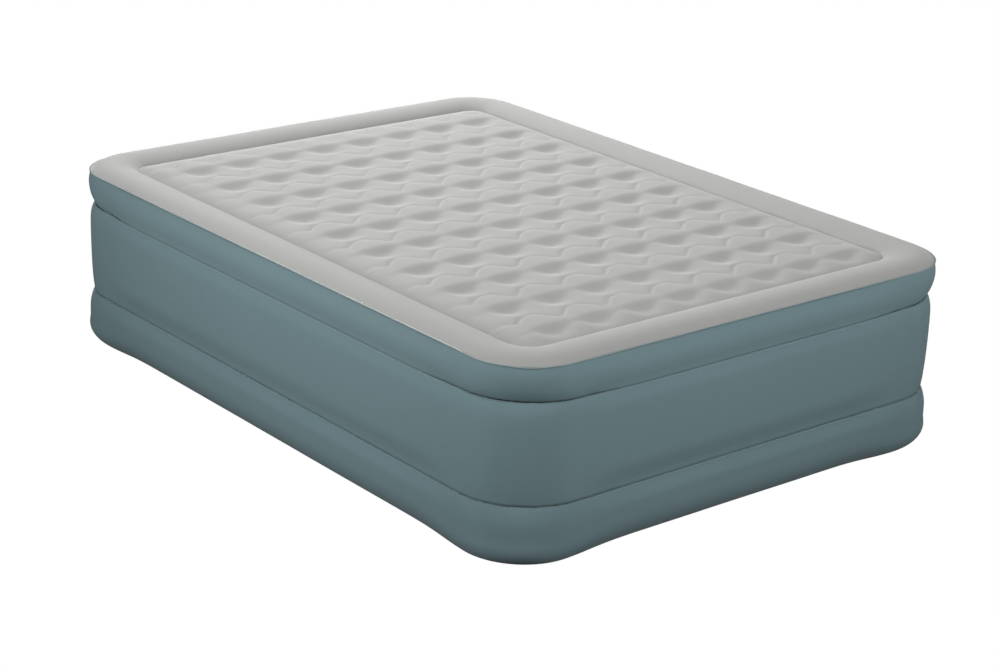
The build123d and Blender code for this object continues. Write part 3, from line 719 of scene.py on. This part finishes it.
def relief(line, along, across, part):
    """How high the panel stands over its foot, in the row above a weld line."""
    middle = (0.5 + 0.5 * wave_shape(along)) * wave_fade(along)
    soft_weld_height = blend(shallow_weld_height, deep_weld_height, middle**deep_power)
    from_low = across - line_y(line, along) if line > 0 else full_away
    from_high = line_y(line + 1, along) - across if line < last_row else full_away
    if line % 2 == 1:
        top = blend(pinch_height, crown_height, middle)
        top += cell_round * math.sin(math.pi * part)
        low_cut, low_reach = soft_weld_height, blend(shallow_reach, deep_reach, middle)
        high_cut, high_reach = strong_weld_height, strong_reach
    else:
        top = flat_height if 0 < line < last_row else margin_height
        low_cut, low_reach = strong_weld_height, strong_far_reach
        high_cut, high_reach = soft_weld_height, edge_reach
    top += 0.0007 * drift(Vector((along, across, 0.0)), 0.16, 47.0)
    tall = top - (top - low_cut) * (1 - settle(from_low, low_reach))
    tall -= (top - high_cut) * (1 - settle(from_high, high_reach))
    low_x = settle(panel_half_x - abs(along), edge_fall_length)
    low_y = settle(panel_half_y - abs(across), edge_fall_length)
    return max(0.0, tall) * low_x * low_y


columns = 2 * round(panel_half_x / column_step)
panel_verts = []
panel_rows = 0
for line in range(last_row + 1):
    for step in range(row_steps + (1 if line == last_row else 0)):
        part = step / row_steps
        for column in range(columns + 1):
            along = panel_half_x * (2 * column / columns - 1)
            across = blend(line_y(line, along), line_y(line + 1, along), part)
            spot = Vector((along, across, 0.0))
            waver = 0.0005 * drift(spot, 0.05, 41.0) + 0.0003 * drift(spot, 0.018, 43.0)
            height = panel_z + relief(line, along, across, part) + waver
            panel_verts.append((along, across, height))
        panel_rows += 1
panel_faces = []
width_count = columns + 1
for row in range(panel_rows - 1):
    for column in range(columns):
        near = row * width_count + column
        far = near + width_count
        panel_faces.append((near, near + 1, far + 1, far))
panel = cloth_piece("sleeping_panel", panel_verts, panel_faces)
thicken(panel, fabric)
finish_piece(panel, grey_flock, "top_flock", "top_panel", fill=0.8)

# ------------------------------------------------------------------ the panel's weld
# A flat ring of the same cloth, heat-welded to the panel and to the rim's foot just under
# the groove between them.
foot_inset = rim_foot + 0.004
foot_width = 0.008
foot_z = 0.5010
foot_thickness = 0.0012
foot_weld = weld_ring(
    "panel_foot", foot_inset, foot_width, rim_foot_corner, foot_z, foot_thickness, 0.0
)
finish_piece(foot_weld, grey_flock, "seam_vinyl", "panel_weld")

# ------------------------------------------------------------------ the sheets and beams inside
# Bare vinyl sheets and upright strips, hidden by the outside fabric, that hold its shape.
inner_vinyl = smooth_vinyl("inner_vinyl", (0.42, 0.43, 0.43), 0.5)
dress(inner_vinyl, "lower_deck", "mid_deck", "wave_beams", "rim_beam", "base_beams")
dress(inner_vinyl, "middle_beams")

# ------------------------------------------------------------------ the pump
# Moulded plastic in two greys, set in a soft vinyl collar that is welded to the wall.
collar_vinyl = smooth_vinyl("collar_vinyl", (0.075, 0.112, 0.122), 0.5)
pump_plastic = smooth_vinyl("pump_plastic", (0.030, 0.042, 0.047), 0.42)
inner_plastic = smooth_vinyl("inner_plastic", (0.020, 0.024, 0.026), 0.5)
grille_plastic = smooth_vinyl("grille_plastic", (0.018, 0.021, 0.023), 0.5)
knob_plastic = smooth_vinyl("knob_plastic", (0.36, 0.38, 0.38), 0.36)
pointer_plastic = smooth_vinyl("pointer_plastic", (0.80, 0.82, 0.82), 0.3)
switch_plastic = smooth_vinyl("switch_plastic", (0.012, 0.012, 0.013), 0.28, 0.5)
seal_rubber = smooth_vinyl("seal_rubber", (0.016, 0.016, 0.017), 0.75)
dress(collar_vinyl, "pump_collar")
dress(pump_plastic, "pump_face_plate", "cord_bay_door", "cord_bay_tub", "valve_seat")
dress(inner_plastic, "pump_housing", "blower_bulkhead", "blower_volute", "impeller")
dress(inner_plastic, "selector_spindle", "selector_shutter", "motor_end_cap", "valve_flap")
dress(grille_plastic, "intake_grille")
dress(knob_plastic, "selector_knob")
dress(pointer_plastic, "knob_pointer")
dress(switch_plastic, "switch_body", "switch_rocker")
dress(seal_rubber, "pump_gasket", "cord_gland", "flap_face")


def metal(name, colour, roughness):
    """Turned or drawn metal with fine marks in its roughness."""
    material = smooth_vinyl(name, colour, roughness)
    material.node_tree.nodes["Principled BSDF"].inputs["Metallic"].default_value = 1.0
    return material


steel = metal("bright_steel", (0.62, 0.63, 0.65), 0.32)
magnet = metal("magnet_iron", (0.16, 0.16, 0.17), 0.5)
brass = metal("bush_brass", (0.70, 0.52, 0.24), 0.35)
dress(steel, "plate_screws", "door_hinge_pin", "rotor_shaft", "flap_pin", "motor_can")
dress(steel, "motor_bracket", "motor_armature")
dress(magnet, "motor_magnets")
dress(brass, "front_bearing", "rear_bearing")

# ------------------------------------------------------------------ the studio
# A plain white floor that runs out of view, a large soft box overhead and behind, one on
# each side of the bed, and a weak fill by the camera.
bpy.context.scene.view_settings.view_transform = "Standard"
floor_drop = 0.0004
bpy.ops.mesh.primitive_plane_add(size=60.0, location=(0.0, 0.0, -floor_drop))
studio_floor = bpy.context.object
studio_floor.name = "studio_floor"
floor_paint = bpy.data.materials.new("studio_floor_paint")
floor_paint.use_nodes = True
floor_nodes, floor_links = floor_paint.node_tree.nodes, floor_paint.node_tree.links
floor_shader = floor_nodes["Principled BSDF"]
floor_shader.inputs["Base Color"].default_value = (0.07, 0.07, 0.07, 1.0)
floor_shader.inputs["Roughness"].default_value = 1.0
floor_shader.inputs["Specular IOR Level"].default_value = 0.0
glow = floor_nodes.new("ShaderNodeEmission")
glow.inputs["Strength"].default_value = 1.0
rays = floor_nodes.new("ShaderNodeLightPath")
shown = floor_nodes.new("ShaderNodeMixShader")
floor_links.new(rays.outputs["Is Camera Ray"], shown.inputs["Fac"])
floor_links.new(floor_shader.outputs["BSDF"], shown.inputs[1])
floor_links.new(glow.outputs["Emission"], shown.inputs[2])
floor_links.new(shown.outputs["Shader"], floor_nodes["Material Output"].inputs["Surface"])
studio_floor.data.materials.append(floor_paint)

room = bpy.data.worlds.new("studio_room")
bpy.context.scene.world = room
room.use_nodes = True
room_nodes, room_links = room.node_tree.nodes, room.node_tree.links
room_rays = room_nodes.new("ShaderNodeLightPath")
room_mix = room_nodes.new("ShaderNodeMixShader")
seen = room_nodes.new("ShaderNodeBackground")
seen.inputs["Strength"].default_value = 1.0
seen.inputs["Color"].default_value = (1.0, 1.0, 1.0, 1.0)
room_light = room_nodes["Background"]
room_light.inputs["Color"].default_value = (1.0, 1.0, 1.0, 1.0)
room_light.inputs["Strength"].default_value = 0.10
room_links.new(room_rays.outputs["Is Camera Ray"], room_mix.inputs["Fac"])
room_links.new(room_light.outputs["Background"], room_mix.inputs[1])
room_links.new(seen.outputs["Background"], room_mix.inputs[2])
room_links.new(room_mix.outputs["Shader"], room_nodes["World Output"].inputs["Surface"])

for name, spot, aim, size, power, spread in (
    ("back_box", (2.0, 4.2, 3.2), (0.1, 0.2, 0.5), 1.8, 312.0, 180),
    ("left_box", (-4.7, 0.9, 2.0), (-0.7, 0.0, 1.4), 1.8, 26.5, 60),
    ("right_box", (2.3, -4.8, 2.1), (0.2, -1.0, 1.4), 1.8, 22.5, 60),
    ("camera_fill", (-3.3, -4.2, 2.6), (-0.7, -1.0, 1.3), 0.9, 14.0, 60),
):
    bpy.ops.object.light_add(type="AREA", location=spot)
    lamp = bpy.context.object
    lamp.name = name
    lamp.data.size = size
    lamp.data.energy = power
    lamp.data.spread = math.radians(spread)
    lamp.rotation_euler = (Vector(aim) - Vector(spot)).to_track_quat("-Z", "Y").to_euler()
